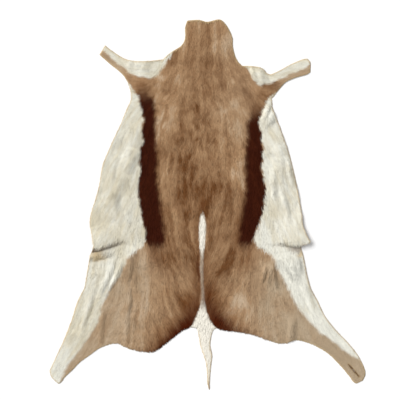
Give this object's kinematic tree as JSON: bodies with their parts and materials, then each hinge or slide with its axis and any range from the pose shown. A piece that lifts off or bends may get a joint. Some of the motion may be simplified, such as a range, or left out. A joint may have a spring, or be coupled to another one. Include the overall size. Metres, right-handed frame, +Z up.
{
  "type": "springbok hide",
  "caption": "Whole springbok skin with the hair on, cut and laid out flat hair side up, with neck, spread legs, belly tucks and tail, used as a small floor rug.",
  "frame": {"origin": "centre of the underside, on the floor the hide lies on", "axes": "+Y along the back towards the neck, +X to the right seen from above, +Z up on the hair side"},
  "size_m": [0.948, 1.11, 0.0219],
  "materials": {
    "hair_on_hide": "tan, dark brown and white hair over dressed skin"
  },
  "bodies": {
    "root": {"hide": "hair_on_hide"}
  },
  "joints": []
}
